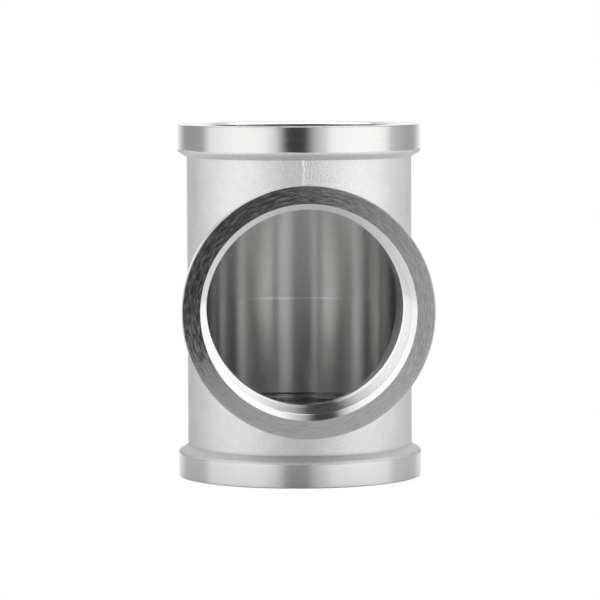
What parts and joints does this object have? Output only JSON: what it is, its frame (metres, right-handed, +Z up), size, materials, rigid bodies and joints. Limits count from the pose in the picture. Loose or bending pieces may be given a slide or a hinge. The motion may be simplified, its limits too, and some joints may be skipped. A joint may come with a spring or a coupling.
{
  "type": "threaded pipe tee",
  "caption": "Cast pipe tee with a straight run and an equal side branch, three female threaded ports, each with a turned band, a flat face and a chamfered mouth.",
  "frame": {"origin": "centre of the lower port's face, on the axis of the run, where the tee stands", "axes": "+Z up along the run to the upper port, -Y out of the side branch"},
  "size_m": [0.07, 0.0857, 0.1013],
  "materials": {
    "stainless_casting": "blasted as-cast skin, with bright turned bands, faces, chamfers and bores at the ports"
  },
  "bodies": {
    "root": {"tee_body": "stainless_casting"}
  },
  "joints": []
}
